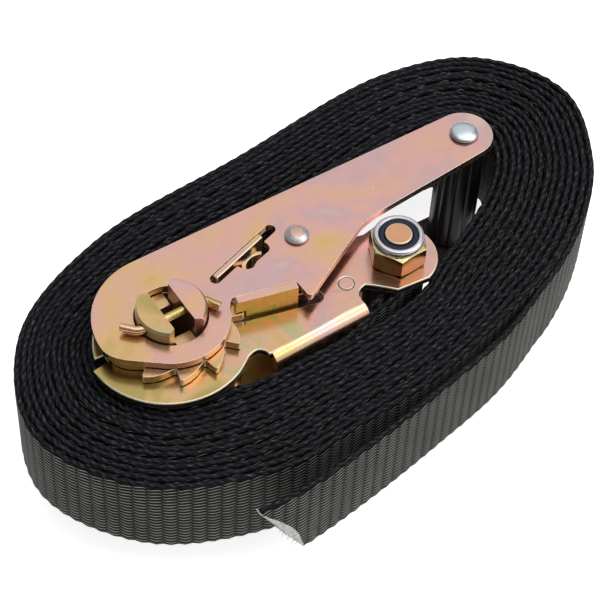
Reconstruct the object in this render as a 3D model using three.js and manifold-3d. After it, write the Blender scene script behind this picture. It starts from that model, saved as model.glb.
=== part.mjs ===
// Ratchet strap: a 25 mm endless strap wound in an oblong coil round its own ratchet.
// Millimetres, +Z up along the mandrel axis, +X along the coil. The ratchet lies on its side.
import * as THREE from 'three';
import { mergeVertices } from 'three/addons/utils/BufferGeometryUtils.js';
import Module from 'manifold-3d';

const wasm = await Module();
wasm.setup();

// ---------------------------------------------------------------- driving dimensions
const gap = 0.3;                  // clearance between neighbouring pieces
const webbing = { width: 25, thickness: 1.7 };
const sheet = { frame: 2, wheel: 2.3, handle: 2, drivePawl: 1.5, lockingPawl: 2 };
const frameInside = 13.6;         // half the space between the frame's two side plates
const wheelLow = frameInside + sheet.frame + gap;
const handleLow = wheelLow + sheet.wheel + 0.4;
const handleTop = handleLow + sheet.handle;
const ratchetTurn = -2.3;         // degrees from the coil's long axis to the handle's

const mandrel = { radius: 8.6, slotHalf: 2.8, halfLength: 24.2, slotTurn: -7, bore: 9, blunt: 57 };
const wheel = { teeth: 12, tipRadius: 17.6, rootRadius: 14.2, firstTip: -0.6, tabRadius: 4.5 };
const cotter = { radius: 1.2, height: 22.2, bore: 1.5, aside: -1.2 };

const handle = { lobe: 19, cam: 14.3, endX: 95, endRadius: 7.5 };
const endRivet = { x: handle.endX, y: 0, shaft: 2.5, head: 3.7, rise: 1.7 };
const crossRivet = { x: 39.2, y: 0.4, shaft: 2, head: 3, flat: 1.7, rise: 1.3 };
const grip = { radius: 6.1, flutes: 10, fluteDepth: 0.55, core: 4 };

const bolt = { x: 57.4, y: -16.6, radius: 4, tip: 3.4, acrossFlats: 13, headHeight: 5.3, end: 24.1 };
const hexTurn = 27;               // degrees from the handle's axis to a corner of the hexagons
const nut = { hexHeight: 6.2, collarRadius: 6.3, height: 8, insertRadius: 4.85 };
const boltLobe = 10.4;            // frame plate radius round the bolt
const sleeveRadius = 5.5;         // spacer that the sewn loop runs round

const web = { x: 14, y: -23.1, turn: -5.3, length: 27.2, outerBend: 3, innerBend: 1 };

const drivePawl = { turn: 11.2, x: 14.9, y: 2.1, nose: 18.6, shoulder: 20.8, tail: 32.2, travel: 4.5 };
const lockingPawl = { turn: -20.4, x: 14.2, y: -7, ear: 15.4, nose: 16.9, tail: 31.2, travel: 5 };
const springPin = { x: 41.9, y: -15.6, radius: 1.7 };

const steel = { gold: 0xc9a98a, olive: 0x9a8a45, bright: 0xc9cdd2, spring: 0x8f8a80 };

// ---------------------------------------------------------------- small helpers
const rad = THREE.MathUtils.degToRad;
const polar = (radius, degrees, x = 0, y = 0) =>
  new THREE.Vector2(x + radius * Math.cos(rad(degrees)), y + radius * Math.sin(rad(degrees)));

// A point `along` a radial line that leaves (x, y) at `turn` degrees, `aside` to its left.
function onLine({ x, y, turn }, along, aside = 0) {
  const start = x * Math.cos(rad(turn)) + y * Math.sin(rad(turn));
  const offset = polar(along - start, turn, x, y);
  return offset.add(polar(aside, turn + 90));
}

function toSolid(geometry) {
  const bare = geometry.clone();
  bare.deleteAttribute('normal');
  bare.deleteAttribute('uv');
  const merged = mergeVertices(bare, 1e-5);
  return new wasm.Manifold(new wasm.Mesh({
    numProp: 3,
    vertProperties: new Float32Array(merged.attributes.position.array),
    triVerts: new Uint32Array(merged.index.array),
  }));
}

function toGeometry(solid) {
  const mesh = solid.getMesh();
  const geometry = new THREE.BufferGeometry();
  geometry.setAttribute('position', new THREE.BufferAttribute(mesh.vertProperties, 3));
  geometry.setIndex(new THREE.BufferAttribute(mesh.triVerts, 1));
  return geometry;
}

const cut = (body, ...tools) =>
  toGeometry(tools.reduce((solid, tool) => solid.subtract(toSolid(tool)), toSolid(body)));
const join = (body, ...more) =>
  toGeometry(more.reduce((solid, piece) => solid.add(toSolid(piece)), toSolid(body)));
const common = (a, b) => toGeometry(toSolid(a).intersect(toSolid(b)));

function extrude(shape, low, high, curveSegments = 9) {
  const geometry = new THREE.ExtrudeGeometry(shape, {
    depth: high - low, bevelEnabled: false, curveSegments,
  });
  return geometry.translate(0, 0, low);
}

function disc(radius, low, high, x = 0, y = 0, sides = 36) {
  const geometry = new THREE.CylinderGeometry(radius, radius, high - low, sides);
  return geometry.rotateX(Math.PI / 2).translate(x, y, (low + high) / 2);
}

// A turned piece: profile is [radius, height] pairs, closed on the axis or on itself.
function turned(profile, x = 0, y = 0, sides = 30) {
  const points = profile.map(([radius, height]) => new THREE.Vector2(radius, height));
  const geometry = new THREE.LatheGeometry(points, sides);
  return geometry.rotateX(Math.PI / 2).translate(x, y, 0);
}

function ring(inner, outer, low, high, x, y, sides = 30) {
  return turned([[inner, low], [outer, low], [outer, high], [inner, high], [inner, low]], x, y, sides);
}

function shapeFrom(points) {
  return new THREE.Shape(points);
}

// Upper side as given, lower side mirrored in the ratchet's mid-plane.
const mirrorLevels = (low, high, side) => (side > 0 ? [low, high] : [-high, -low]);

function wire(path, radius, steps, sides = 7) {
  const section = new THREE.Shape();
  section.absarc(0, 0, radius, 0, Math.PI * 2);
  const points = section.getPoints(sides).slice(0, sides);
  return new THREE.ExtrudeGeometry(new THREE.Shape(points), { steps, extrudePath: path });
}

const finishes = {
  gold: { color: steel.gold, roughness: 0.35, metalness: 1 },
  olive: { color: steel.olive, roughness: 0.45, metalness: 1 },
  bright: { color: steel.bright, roughness: 0.3, metalness: 1 },
  spring: { color: steel.spring, roughness: 0.4, metalness: 1 },
  nylon: { color: 0x20263a, roughness: 0.5, metalness: 0 },
  plastic: { color: 0x111112, roughness: 0.3, metalness: 0 },
  webbing: { color: 0x1c1c1e, roughness: 0.85, metalness: 0 },
};

function piece(name, geometry, finish) {
  const mesh = new THREE.Mesh(geometry, new THREE.MeshStandardMaterial(finishes[finish]));
  mesh.name = name;
  return mesh;
}

// ---------------------------------------------------------------- frame
// Side plate: round lobe at the mandrel with the open-lock notch, relief notches at both
// ends of the bend, and a round lobe at the bolt. Its upper edge lies under the handle.
function framePlateShape() {
  const shape = new THREE.Shape();
  const lobe = { x: -1.8, y: -0.9, radius: 20.5 };
  shape.absarc(bolt.x, bolt.y, boltLobe, rad(-80), rad(100), false);
  shape.lineTo(50, -4.6);
  shape.lineTo(32, -2.7);
  shape.lineTo(21, -2.1);
  shape.quadraticCurveTo(15, -1.6, polar(13.2, 18).x, polar(13.2, 18).y);
  shape.absarc(0, 0, 13.2, rad(18), rad(118), false);
  shape.quadraticCurveTo(...polar(15.5, 132), ...polar(18.8, 146));
  shape.quadraticCurveTo(...polar(20, 158), -19.9, 3.9);
  shape.lineTo(-17.5, 3.5);
  shape.lineTo(-17.8, 1.3);
  shape.lineTo(-22.1, 1.3);
  shape.absarc(lobe.x, lobe.y, lobe.radius, rad(174), rad(287), false);
  shape.quadraticCurveTo(6.6, -19.6, 9.2, -18.1);
  shape.quadraticCurveTo(13.2, -16.6, 13.6, -20.6);
  shape.lineTo(41.3, -22.6);
  shape.quadraticCurveTo(41.9, -18.8, 45.2, -18.8);
  shape.quadraticCurveTo(46.4, -19.6, 50.6, -25);
  return shape;
}

function slotHole(line, from, to, width) {
  const half = width / 2;
  const a = onLine(line, from + half);
  const b = onLine(line, to - half);
  const hole = new THREE.Shape();
  hole.absarc(a.x, a.y, half, rad(line.turn + 90), rad(line.turn + 270), false);
  hole.absarc(b.x, b.y, half, rad(line.turn - 90), rad(line.turn + 90), false);
  return hole;
}

function frameChannel() {
  const outer = frameInside + sheet.frame;
  const plates = [1, -1].map((side) =>
    extrude(framePlateShape(), ...mirrorLevels(frameInside, outer, side)));
  const { outerBend, innerBend } = web;
  const reach = 5;
  const inner = outerBend - innerBend;
  const section = new THREE.Shape();
  section.moveTo(reach, -outer);
  section.absarc(outerBend, -outer + outerBend, outerBend, rad(-90), rad(-180), true);
  section.absarc(outerBend, outer - outerBend, outerBend, rad(180), rad(90), true);
  section.lineTo(reach, outer);
  section.lineTo(reach, frameInside);
  section.absarc(outerBend, frameInside - innerBend, innerBend, rad(90), rad(180), false);
  section.absarc(outerBend, -frameInside + innerBend, innerBend, rad(180), rad(270), false);
  section.lineTo(reach, -frameInside);
  console.assert(inner === sheet.frame);
  const channel = new THREE.ExtrudeGeometry(section, {
    depth: web.length, bevelEnabled: false, curveSegments: 10,
  });
  // section x runs inward from the web's outer face, section y runs up, depth runs along the web
  const inward = new THREE.Vector3(Math.sin(rad(-web.turn)), Math.cos(rad(web.turn)), 0);
  const along = new THREE.Vector3(Math.cos(rad(web.turn)), Math.sin(rad(web.turn)), 0);
  const place = new THREE.Matrix4().makeBasis(inward, new THREE.Vector3(0, 0, 1), along);
  channel.applyMatrix4(place.setPosition(web.x, web.y, 0));
  const reachAll = 20;
  const slot = slotHole(lockingPawl, 15.8, 36.9 + lockingPawl.travel * 0.2, sheet.lockingPawl + 1.6);
  return cut(
    join(plates[0], channel, plates[1]),
    disc(mandrel.bore, -reachAll, reachAll, 0, 0, 40),
    disc(bolt.radius + gap, -reachAll, reachAll, bolt.x, bolt.y),
    disc(springPin.radius + gap, -reachAll, reachAll, springPin.x, springPin.y, 24),
    extrude(slot, -reachAll, reachAll, 8),
  );
}

// ---------------------------------------------------------------- bolt, nut and sleeve
function hexagon(acrossFlats, low, high) {
  const geometry = new THREE.CylinderGeometry(
    acrossFlats / Math.sqrt(3), acrossFlats / Math.sqrt(3), high - low, 6);
  return geometry.rotateX(Math.PI / 2).rotateZ(rad(hexTurn)).translate(bolt.x, bolt.y, (low + high) / 2);
}

// Hexagon with its corners turned down at one or both ends.
function chamferedHexagon(acrossFlats, low, high, atLow, atHigh) {
  const corner = acrossFlats / Math.sqrt(3) + 0.2;
  const flat = acrossFlats / 2 - 0.1;
  const drop = (corner - flat) * Math.tan(rad(30));
  const cone = turned([
    [0, low], [atLow ? flat : corner, low], [corner, low + (atLow ? drop : 0.01)],
    [corner, high - (atHigh ? drop : 0.01)], [atHigh ? flat : corner, high], [0, high],
  ], bolt.x, bolt.y, 36);
  return common(hexagon(acrossFlats, low, high), cone);
}

function anchorBolt() {
  const under = -(frameInside + sheet.frame + gap);
  const head = chamferedHexagon(bolt.acrossFlats, under - bolt.headHeight, under, true, false);
  const shank = turned([
    [0, under - 1], [bolt.radius, under - 1], [bolt.radius, bolt.end - 1.8],
    [bolt.tip, bolt.end - 1.3], [bolt.tip, bolt.end - 0.2], [bolt.tip - 0.2, bolt.end], [0, bolt.end],
  ], bolt.x, bolt.y, 32);
  return join(head, shank);
}

const nutLow = frameInside + sheet.frame + gap;

function nylocNut() {
  const collarLow = nutLow + nut.hexHeight;
  const top = nutLow + nut.height;
  const lip = nut.insertRadius + gap;
  const collar = turned([
    [0, collarLow - 0.5], [nut.collarRadius, collarLow - 0.5], [nut.collarRadius, top - 0.9],
    [nut.collarRadius - 0.3, top - 0.3], [nut.collarRadius - 0.9, top], [0, top],
  ], bolt.x, bolt.y);
  const body = join(chamferedHexagon(bolt.acrossFlats, nutLow, collarLow, true, true), collar);
  return cut(
    body,
    disc(bolt.radius + gap, nutLow - 1, top + 1, bolt.x, bolt.y, 32),
    disc(lip, top - 1.6, top + 1, bolt.x, bolt.y, 40),
  );
}

function nylonInsert() {
  const top = nutLow + nut.height;
  return ring(bolt.tip + 0.2, nut.insertRadius, top - 1, top - 0.15, bolt.x, bolt.y);
}

function boltSleeve() {
  const half = frameInside - gap;
  return ring(bolt.radius + gap, sleeveRadius, -half, half, bolt.x, bolt.y, 32);
}

function springStopPin() {
  const half = frameInside + sheet.frame;
  return disc(springPin.radius, -half, half, springPin.x, springPin.y, 24);
}

// ---------------------------------------------------------------- mandrel and wheels
// Circular segment on the +X side of the slot.
function halfMoonShape(radius, flat) {
  const reach = THREE.MathUtils.radToDeg(Math.acos(flat / radius));
  const shape = new THREE.Shape();
  shape.absarc(0, 0, radius, rad(-reach), rad(reach), false);
  return shape;
}

// The same with its two points taken off.
function bluntMoonShape(radius, flat) {
  const end = polar(mandrel.radius, mandrel.blunt);
  const shape = new THREE.Shape();
  shape.moveTo(flat, -end.y + 1);
  shape.lineTo(end.x, -end.y);
  shape.lineTo(radius, -end.y);
  shape.lineTo(radius, end.y);
  shape.lineTo(end.x, end.y);
  shape.lineTo(flat, end.y - 1);
  return shape;
}

function mandrelHalf(side) {
  const { radius, slotHalf, halfLength } = mandrel;
  const chamfer = 0.5;
  const barrel = turned([
    [0, -halfLength], [radius - chamfer, -halfLength], [radius, -halfLength + chamfer],
    [radius, halfLength - chamfer], [radius - chamfer, halfLength], [0, halfLength],
  ], 0, 0, 56);
  const half = common(barrel, extrude(bluntMoonShape(radius + 1, slotHalf), -halfLength, halfLength, 12));
  const pinHole = (height) => {
    const hole = new THREE.CylinderGeometry(cotter.bore, cotter.bore, 3 * radius, 16);
    return hole.rotateZ(Math.PI / 2).translate(0, side * cotter.aside, height);
  };
  const turn = rad(mandrel.slotTurn + (side > 0 ? 0 : 180));
  return cut(half, pinHole(cotter.height), pinHole(-cotter.height)).rotateZ(turn);
}

// Each tooth has an undercut face on its clockwise side and a long hollow back.
function wheelShape() {
  const pitch = 360 / wheel.teeth;
  const { tipRadius, rootRadius, firstTip } = wheel;
  const shape = new THREE.Shape();
  shape.moveTo(...polar(rootRadius + 0.3, firstTip - 1.9));
  for (let tooth = 0; tooth < wheel.teeth; tooth += 1) {
    const tip = firstTip + tooth * pitch;
    shape.lineTo(...polar(tipRadius - 0.5, tip - 0.5));
    shape.quadraticCurveTo(...polar(tipRadius + 0.1, tip), ...polar(tipRadius - 0.1, tip + 2));
    shape.quadraticCurveTo(...polar(16.9, tip + 12), ...polar(rootRadius + 0.2, tip + pitch - 6.5));
    shape.quadraticCurveTo(
      ...polar(rootRadius - 0.5, tip + pitch - 3.2),
      ...polar(rootRadius + 0.3, tip + pitch - 1.9),
    );
  }
  return shape;
}

function ratchetWheel(side) {
  const [low, high] = mirrorLevels(wheelLow, wheelLow + sheet.wheel, side);
  const moon = extrude(halfMoonShape(mandrel.radius + gap, mandrel.slotHalf - gap), low - 1, high + 1);
  const moons = [0, 180].map((turn) => moon.clone().rotateZ(rad(mandrel.slotTurn + turn)));
  const between = new THREE.BoxGeometry(2 * mandrel.slotHalf, 2 * wheel.tabRadius, 3 * sheet.wheel);
  between.rotateZ(rad(mandrel.slotTurn)).translate(0, 0, (low + high) / 2);
  return cut(extrude(wheelShape(), low, high, 3), ...moons, between);
}

// Split pin across both halves, its ends bent aside.
function cotterPin(side) {
  const axis = mandrel.slotTurn;
  const at = (along, aside) => {
    const point = polar(along, axis).add(polar(aside, axis + 90));
    return new THREE.Vector3(point.x, point.y, side * cotter.height);
  };
  const path = new THREE.CatmullRomCurve3([
    [-12.7, 2.1], [-11.3, 0.6], [-9.8, -0.8], [-8.3, cotter.aside], [0, cotter.aside],
    [7.4, cotter.aside], [8.7, -1.7], [9.6, -3.2], [10.7, -4.9],
  ].map(([along, aside]) => at(along, aside)), false, 'centripetal');
  return wire(path, cotter.radius, 18, 8);
}

// ---------------------------------------------------------------- handle
// Side plate: cam lobe round the mandrel, straight arm to the round end, and a spur that
// stands just past the outer end of the locking pawl's ear.
function handlePlateShape() {
  const { lobe, cam, endX, endRadius } = handle;
  const shape = new THREE.Shape();
  shape.absarc(endX, 0, endRadius, rad(-90), rad(83), false);
  shape.absarc(0, 0, lobe, rad(83), rad(174), false);
  shape.quadraticCurveTo(-19.05, -1.2, -15.75, -4.5);
  shape.absarc(0, 0, cam, rad(222), rad(324), false);
  shape.quadraticCurveTo(12.6, -6, 14.7, -4.9);
  shape.lineTo(29.4, -10.2);
  shape.quadraticCurveTo(30, -10.5, 29.9, -11.2);
  shape.lineTo(29.6, -15.2);
  shape.quadraticCurveTo(29.9, -16.3, 31, -15.8);
  shape.lineTo(38.4, -12.9);
  shape.quadraticCurveTo(43, -11.2, 53, -7.3);
  shape.quadraticCurveTo(56, -6.2, 62, -6.3);
  return shape;
}

// Window beside the drive pawl's slot, through which its curled finger flange shows.
function flangeWindow() {
  return shapeFrom([
    new THREE.Vector2(21.6, 2.6), new THREE.Vector2(22.2, 0.9), new THREE.Vector2(23.3, -0.4),
    new THREE.Vector2(24.6, -0.7), new THREE.Vector2(25.5, -0.2), new THREE.Vector2(26.4, 0.2),
    new THREE.Vector2(30.6, 0.9), new THREE.Vector2(31.6, 1.5), new THREE.Vector2(31.9, 2.6),
    new THREE.Vector2(31.6, 5.4),
  ]);
}

function handlePlate(side) {
  const [low, high] = mirrorLevels(handleLow, handleTop, side);
  const slotWidth = sheet.drivePawl + 1.3;
  const slot = slotHole(drivePawl, 13.9, drivePawl.tail + drivePawl.travel + 0.6, slotWidth);
  return cut(
    extrude(handlePlateShape(), low, high, 12),
    disc(mandrel.bore, low - 1, high + 1, 0, 0, 40),
    disc(endRivet.shaft + gap, low - 1, high + 1, endRivet.x, endRivet.y, 32),
    disc(crossRivet.shaft + gap, low - 1, high + 1, crossRivet.x, crossRivet.y, 32),
    extrude(slot, low - 1, high + 1, 8),
    extrude(flangeWindow(), low - 1, high + 1),
  );
}

// Domed rivet through both plates at the grip.
function domedRivet() {
  const { shaft, head, rise, x, y } = endRivet;
  const seat = handleTop + gap;
  const half = [
    [shaft, seat], [head - 0.3, seat], [head, seat + 0.35], [head - 0.35, seat + 0.9],
    [head * 0.72, seat + 1.35], [head * 0.38, seat + rise - 0.08], [0, seat + rise],
  ];
  const lower = half.map(([radius, height]) => [radius, -height]).reverse();
  return turned([...lower, ...half], x, y);
}

// Flat-topped rivet with a broad chamfer, in the middle of the handle.
function flatRivet() {
  const { shaft, head, flat, rise, x, y } = crossRivet;
  const seat = handleTop + gap;
  const half = [
    [shaft, seat], [head, seat], [head, seat + 0.3], [flat, seat + rise], [0, seat + rise],
  ];
  const lower = half.map(([radius, height]) => [radius, -height]).reverse();
  return turned([...lower, ...half], x, y, 32);
}

const betweenHandles = handleLow - gap;

function crossSpacer() {
  const { shaft, x, y } = crossRivet;
  return ring(shaft + gap, shaft + 1.1, -betweenHandles, betweenHandles, x, y, 24);
}

function gripCore() {
  const { shaft, x, y } = endRivet;
  return ring(shaft + gap, grip.core, -betweenHandles, betweenHandles, x, y, 24);
}

// Moulded sleeve with flutes along it.
function gripSleeve() {
  const { radius, flutes, fluteDepth, core } = grip;
  const steps = flutes * 6;
  const outline = [];
  for (let step = 0; step < steps; step += 1) {
    const angle = (360 * step) / steps;
    const wave = Math.abs(Math.sin(rad((angle * flutes) / 2)));
    outline.push(polar(radius - fluteDepth * (1 - wave) ** 2, angle, endRivet.x, endRivet.y));
  }
  const shape = shapeFrom(outline);
  const hole = new THREE.Path();
  hole.absarc(endRivet.x, endRivet.y, core + gap, 0, Math.PI * 2, true);
  shape.holes.push(hole);
  return extrude(shape, -betweenHandles, betweenHandles, 12);
}

// ---------------------------------------------------------------- pawls and their springs
// Plate standing along `line`, given as [distance from the mandrel, height] pairs.
function standingPlate(line, outline, thickness) {
  const shape = shapeFrom(outline.map(([along, height]) => new THREE.Vector2(along, height)));
  const plate = new THREE.ExtrudeGeometry(shape, { depth: thickness, bevelEnabled: false });
  plate.translate(0, 0, -thickness / 2);
  const along = new THREE.Vector3(Math.cos(rad(line.turn)), Math.sin(rad(line.turn)), 0);
  const up = new THREE.Vector3(0, 0, 1);
  const place = new THREE.Matrix4().makeBasis(along, up, along.clone().cross(up));
  const origin = onLine(line, 0);
  return plate.applyMatrix4(place.setPosition(origin.x, origin.y, 0));
}

// Upper half of an outline, mirrored to make the whole.
const bothHalves = (upper) => [...upper, ...upper.map(([a, h]) => [a, -h]).reverse()];

// Blade across both handle plates. Its noses stand just clear of the wheel's tooth tips, its
// middle clears the frame's lobe, and a curled flange for a finger runs along it.
function drivePawlBlade() {
  const { nose, shoulder, tail } = drivePawl;
  const noseLow = wheelLow - gap / 2;
  const top = handleTop + 1.1;
  const blade = standingPlate(drivePawl, bothHalves([
    [tail, top], [15, top], [15, handleLow - 0.1], [nose, handleLow - 0.1], [nose, noseLow],
    [shoulder, noseLow],
  ].reverse()), sheet.drivePawl);
  const curl = { x: 27.6, y: -0.5, outer: 5.1, inner: 3.9 };
  const shape = new THREE.Shape();
  shape.absarc(curl.x, curl.y, curl.outer, rad(52), rad(172), false);
  shape.absarc(curl.x, curl.y, curl.inner, rad(172), rad(52), true);
  return join(blade, extrude(shape, -betweenHandles, betweenHandles, 14));
}

function lockingPawlPlate() {
  const { ear, nose, tail } = lockingPawl;
  const top = handleTop + 1.6;
  const behindNose = nose + 0.3;
  const frameTop = frameInside + sheet.frame;
  return standingPlate(lockingPawl, bothHalves([
    [tail, top], [ear + 0.5, top], [ear, top - 0.5], [ear, handleLow - 0.1], [nose, handleLow - 0.1],
    [nose, wheelLow - gap / 2], [behindNose, frameTop], [behindNose, 0],
  ].reverse()), sheet.lockingPawl);
}

// The locking pawl with its nose ground to a chisel that lies along the back of a tooth.
function lockingPawlBlade() {
  const { nose } = lockingPawl;
  const slant = shapeFrom([[nose - 2, 1.1], [nose, 1.1], [nose + 1.15, -1.1], [nose - 2, -1.1]]
    .map(([along, aside]) => onLine(lockingPawl, along, aside)));
  const knives = [1, -1].map((side) =>
    extrude(slant, ...mirrorLevels(wheelLow - gap, handleLow - 0.2, side)));
  return cut(lockingPawlPlate(), ...knives);
}

// Torsion spring on the cross rivet's spacer, with a leg against the drive pawl's tail.
function drivePawlSpring() {
  const turns = 6;
  const radius = crossRivet.shaft + 2;
  const rise = 1.5;
  const stepsPerTurn = 10;
  const points = [];
  const leg = onLine(drivePawl, drivePawl.tail + 0.9);
  const lowest = -(turns * rise) / 2;
  const start = 110;
  points.push(new THREE.Vector3(leg.x, leg.y, lowest));
  for (let step = 0; step <= turns * stepsPerTurn; step += 1) {
    const angle = start - (360 * step) / stepsPerTurn;
    const spot = polar(radius, angle, crossRivet.x, crossRivet.y);
    points.push(new THREE.Vector3(spot.x, spot.y, lowest + (rise * step) / stepsPerTurn));
  }
  const path = new THREE.CatmullRomCurve3(points, false, 'centripetal');
  return wire(path, 0.45, turns * stepsPerTurn + 4, 5);
}

// Compression spring between the locking pawl's tail and the stop pin.
function lockingPawlSpring() {
  const turns = 5;
  const stepsPerTurn = 10;
  const radius = 2.4;
  const from = lockingPawl.tail + 0.9;
  const to = 38.6;
  const points = [];
  for (let step = 0; step <= turns * stepsPerTurn; step += 1) {
    const angle = rad((360 * step) / stepsPerTurn);
    const along = from + ((to - from) * step) / (turns * stepsPerTurn);
    const spot = onLine(lockingPawl, along, radius * Math.cos(angle));
    points.push(new THREE.Vector3(spot.x, spot.y, radius * Math.sin(angle)));
  }
  const path = new THREE.CatmullRomCurve3(points, false, 'centripetal');
  return wire(path, 0.4, turns * stepsPerTurn, 5);
}

// ---------------------------------------------------------------- webbing
// Matching points on the coil's outer and inner outlines.
const coilPoints = [
  [[134, -5], [104.2, -2.2]], [[125, 19], [101.2, 4.8]], [[101, 31.6], [92, 8.2]], [[50, 35], [48, 9.3]],
  [[5, 36.3], [4, 11.6]], [[-28, 25], [-14, 9.5]], [[-44, -1], [-18, -2.5]], [[-33, -30], [-13, -14.5]],
  [[-4, -47.8], [4, -21.8]], [[16, -50.2], [15.5, -24.5]], [[40, -52.2], [41, -27.7]],
  [[62, -50.6], [57, -27.1]], [[72, -49.3], [66, -23.5]], [[88, -46.4], [78, -20.3]],
  [[106, -38.6], [90, -16.1]], [[122, -26.5], [100.8, -8.8]],
];

function coilOutline(which, samples) {
  const points = coilPoints.map((pair) => new THREE.Vector3(...pair[which], 0));
  const curve = new THREE.CatmullRomCurve3(points, true, 'centripetal');
  return curve.getSpacedPoints(samples).slice(0, samples).map(({ x, y }) => new THREE.Vector2(x, y));
}

// All the turns together, as one closed ring.
function webbingCoil() {
  const shape = shapeFrom(coilOutline(0, 72));
  shape.holes.push(new THREE.Path(coilOutline(1, 56)));
  return extrude(shape, -webbing.width / 2, webbing.width / 2);
}

// The loose end of the outermost turn, cut on the slant and standing off the coil.
function webbingTail() {
  const middle = new THREE.CatmullRomCurve3([
    [40, -53.9], [14, -54.2], [-6, -53.2], [-17.5, -51],
  ].map(([x, y]) => new THREE.Vector3(x, y, 0)));
  const half = webbing.thickness / 2;
  const steps = 10;
  const sides = [[], []];
  for (let step = 0; step <= steps; step += 1) {
    const spot = middle.getPoint(step / steps);
    const along = middle.getTangent(step / steps);
    sides[0].push(new THREE.Vector2(spot.x - along.y * half, spot.y + along.x * half));
    sides[1].push(new THREE.Vector2(spot.x + along.y * half, spot.y - along.x * half));
  }
  const outline = shapeFrom([...sides[0], ...sides[1].reverse()]);
  const strip = extrude(outline, -webbing.width / 2, webbing.width / 2);
  const slant = shapeFrom([
    new THREE.Vector2(-30, 20), new THREE.Vector2(-21, 20), new THREE.Vector2(-0.3, -20),
    new THREE.Vector2(-30, -20),
  ]);
  const knife = extrude(slant, 0, 40).rotateX(Math.PI / 2).translate(0, -30, 0);
  return cut(strip, knife);
}

// Sewn loop round the bolt's sleeve, its two plies running on under the frame's web.
function webbingLoop() {
  const inner = sleeveRadius + gap;
  const outer = inner + webbing.thickness;
  const tab = { x: 43.6, y: -23.6 };
  const shape = new THREE.Shape();
  shape.absarc(bolt.x, bolt.y, outer, rad(-96), rad(160), false);
  shape.quadraticCurveTo(49.6, -20.6, tab.x, tab.y + webbing.thickness);
  shape.lineTo(tab.x, tab.y - webbing.thickness);
  const hole = new THREE.Path();
  hole.absarc(bolt.x, bolt.y, inner, 0, Math.PI * 2, true);
  shape.holes.push(hole);
  return extrude(shape, -webbing.width / 2, webbing.width / 2, 18);
}

// ---------------------------------------------------------------- assembly
const ratchet = new THREE.Group();
ratchet.rotation.z = rad(ratchetTurn);
ratchet.add(
  piece('frame_channel', frameChannel(), 'gold'),
  piece('anchor_bolt', anchorBolt(), 'gold'),
  piece('nyloc_nut', nylocNut(), 'gold'),
  piece('nylon_insert', nylonInsert(), 'nylon'),
  piece('bolt_sleeve', boltSleeve(), 'bright'),
  piece('spring_stop_pin', springStopPin(), 'gold'),
  piece('webbing_loop', webbingLoop(), 'webbing'),
  piece('end_rivet', domedRivet(), 'bright'),
  piece('cross_rivet', flatRivet(), 'bright'),
  piece('cross_spacer', crossSpacer(), 'bright'),
  piece('grip_core', gripCore(), 'bright'),
  piece('grip_sleeve', gripSleeve(), 'plastic'),
  piece('drive_pawl', drivePawlBlade(), 'gold'),
  piece('drive_pawl_spring', drivePawlSpring(), 'spring'),
  piece('locking_pawl', lockingPawlBlade(), 'olive'),
  piece('locking_pawl_spring', lockingPawlSpring(), 'spring'),
);
for (const [side, label] of [[1, 'upper'], [-1, 'lower']]) {
  ratchet.add(
    piece(`handle_plate_${label}`, handlePlate(side), 'gold'),
    piece(`ratchet_wheel_${label}`, ratchetWheel(side), 'gold'),
    piece(`cotter_pin_${label}`, cotterPin(side), 'bright'),
    piece(`mandrel_half_${side > 0 ? 'right' : 'left'}`, mandrelHalf(side), 'gold'),
  );
}

const strap = new THREE.Group();
strap.add(
  piece('webbing_coil', webbingCoil(), 'webbing'),
  piece('webbing_tail', webbingTail(), 'webbing'),
);

// Origin under the middle of the whole, on the surface that it rests on.
const whole = new THREE.Group();
whole.add(ratchet, strap);
whole.updateMatrixWorld(true);
const extent = new THREE.Box3().setFromObject(whole, true);
const middle = extent.getCenter(new THREE.Vector3());
whole.position.set(-middle.x, -middle.y, -extent.min.z);

export default whole;
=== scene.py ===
"""Ratchet strap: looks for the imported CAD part. Metres, +Z along the mandrel, +X along the coil."""

import math

import bmesh
import bpy
import numpy as np
from mathutils import Matrix, Vector


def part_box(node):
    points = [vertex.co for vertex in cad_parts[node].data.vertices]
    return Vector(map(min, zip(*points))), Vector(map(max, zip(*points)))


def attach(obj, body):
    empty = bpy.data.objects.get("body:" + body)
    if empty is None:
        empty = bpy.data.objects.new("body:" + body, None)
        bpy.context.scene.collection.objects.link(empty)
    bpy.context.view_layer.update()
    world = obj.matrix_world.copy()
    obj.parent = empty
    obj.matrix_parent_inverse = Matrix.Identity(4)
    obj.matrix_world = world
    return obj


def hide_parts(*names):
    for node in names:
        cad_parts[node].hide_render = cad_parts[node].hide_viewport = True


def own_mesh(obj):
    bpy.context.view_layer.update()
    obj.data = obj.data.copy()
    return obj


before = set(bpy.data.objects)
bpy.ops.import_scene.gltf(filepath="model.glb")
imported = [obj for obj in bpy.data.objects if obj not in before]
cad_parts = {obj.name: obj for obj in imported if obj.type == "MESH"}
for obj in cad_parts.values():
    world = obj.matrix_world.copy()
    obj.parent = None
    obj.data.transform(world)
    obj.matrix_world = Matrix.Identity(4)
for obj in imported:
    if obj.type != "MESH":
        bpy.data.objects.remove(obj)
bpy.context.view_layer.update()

MM = 0.001
RATCHET_TURN = math.radians(-2.3)    # from the coil's long axis to the handle's
SEED = 7

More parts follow.
